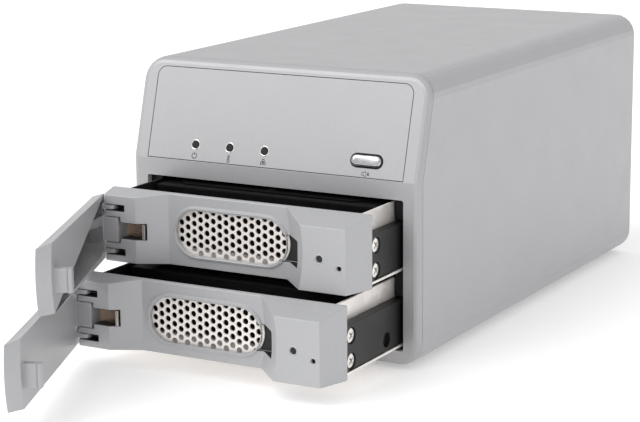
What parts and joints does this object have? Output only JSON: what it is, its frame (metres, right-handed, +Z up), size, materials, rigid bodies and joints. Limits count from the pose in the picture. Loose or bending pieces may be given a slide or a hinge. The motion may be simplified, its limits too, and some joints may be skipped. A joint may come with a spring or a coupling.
{
  "type": "network attached storage",
  "caption": "Desktop network storage unit: rounded silver housing with a slanted fascia, and pull-out drive trays with perforated grilles and swing-open levers.",
  "frame": {"origin": "on the ground, at the middle of the whole footprint with the trays and levers as posed", "axes": "+X to the right seen from the front, +Y to the rear, +Z up"},
  "size_m": [0.134, 0.372, 0.1168],
  "materials": {
    "housing_paint": "satin silver paint",
    "tray_silver": "satin silver paint on a die casting",
    "black_steel": "matt black",
    "black_plastic": "fine texture",
    "plain_steel": "brushed",
    "bright_nickel": "bright nickel plate",
    "chrome": "polished",
    "spring_bronze": "bare spring bronze",
    "plated_grille": "plated perforated sheet",
    "zinc_sheet": "zinc-coated sheet",
    "rail_charcoal": "satin charcoal",
    "lamp_lens": "smoked plastic, unlit",
    "drive_casting": "dark cast aluminium",
    "circuit_board": "solder mask",
    "foot_rubber": "matt"
  },
  "bodies": {
    "housing": {"outer_shell": "housing_paint", "front_mask": "housing_paint", "fascia_panel": "housing_paint", "power_light": "lamp_lens", "temperature_light": "lamp_lens", "fan_light": "lamp_lens", "front_board": "circuit_board", "front_left_foot": "foot_rubber", "front_right_foot": "foot_rubber", "rear_left_foot": "foot_rubber", "rear_right_foot": "foot_rubber", "bay_cage": "black_steel", "backplane_board": "circuit_board", "lower_drive_socket": "black_plastic", "upper_drive_socket": "black_plastic", "controller_board": "circuit_board", "power_supply": "plain_steel", "rear_panel": "plain_steel", "lower_left_rear_screw": "bright_nickel", "upper_left_rear_screw": "bright_nickel", "lower_right_rear_screw": "bright_nickel", "upper_right_rear_screw": "bright_nickel", "fan_frame": "black_plastic", "fan_guard": "bright_nickel", "power_inlet": "black_plastic", "power_switch": "black_plastic", "network_jack": "plain_steel", "usb_port": "plain_steel"},
    "upper_tray": {"upper_tray_bezel": "tray_silver", "upper_grille": "plated_grille", "upper_lever_pin": "bright_nickel", "upper_leaf_spring": "spring_bronze", "upper_tray_frame": "zinc_sheet", "upper_left_rail": "rail_charcoal", "upper_right_rail": "rail_charcoal", "upper_rail_screw_low": "bright_nickel", "upper_rail_screw_high": "bright_nickel", "upper_hard_drive": "drive_casting", "upper_drive_board": "circuit_board", "upper_light_pipe": "lamp_lens"},
    "upper_lever": {"upper_lever": "tray_silver"},
    "lower_tray": {"lower_tray_bezel": "tray_silver", "lower_grille": "plated_grille", "lower_lever_pin": "bright_nickel", "lower_leaf_spring": "spring_bronze", "lower_tray_frame": "zinc_sheet", "lower_left_rail": "rail_charcoal", "lower_right_rail": "rail_charcoal", "lower_rail_screw_low": "bright_nickel", "lower_rail_screw_high": "bright_nickel", "lower_hard_drive": "drive_casting", "lower_drive_board": "circuit_board", "lower_light_pipe": "lamp_lens"},
    "lower_lever": {"lower_lever": "tray_silver"},
    "mute_button": {"mute_button": "chrome"},
    "power_rocker": {"power_rocker": "black_plastic"},
    "fan_rotor": {"fan_rotor": "black_plastic"}
  },
  "joints": [
    {"name": "upper_tray_slide", "type": "slide", "parent": "housing", "child": "upper_tray", "axis": [0, -1, 0], "range_m": [-0.0266, 0.0984]},
    {"name": "lower_tray_slide", "type": "slide", "parent": "housing", "child": "lower_tray", "axis": [0, -1, 0], "range_m": [-0.0469, 0.0781]},
    {"name": "upper_lever_hinge", "type": "hinge", "parent": "upper_tray", "child": "upper_lever", "pos_m": [-0.057, -0.07648, 0.052], "axis": [0, 0, 1], "range_deg": [-23, 67]},
    {"name": "lower_lever_hinge", "type": "hinge", "parent": "lower_tray", "child": "lower_lever", "pos_m": [-0.057, -0.09678, 0.0211], "axis": [0, 0, 1], "range_deg": [-23, 67]},
    {"name": "mute_press", "type": "slide", "parent": "housing", "child": "mute_button", "axis": [0, 0.9621, -0.2729], "range_m": [0, 0.0008], "stiffness_N_per_m": 300, "springref_m": -0.001},
    {"name": "power_rocker_tilt", "type": "hinge", "parent": "housing", "child": "power_rocker", "pos_m": [0.013, 0.18222, 0.0965], "axis": [1, 0, 0], "range_deg": [-16, 0]},
    {"name": "fan_spin", "type": "hinge", "parent": "housing", "child": "fan_rotor", "pos_m": [-0.022, 0.17402, 0.0375], "axis": [0, 1, 0], "continuous": true}
  ]
}
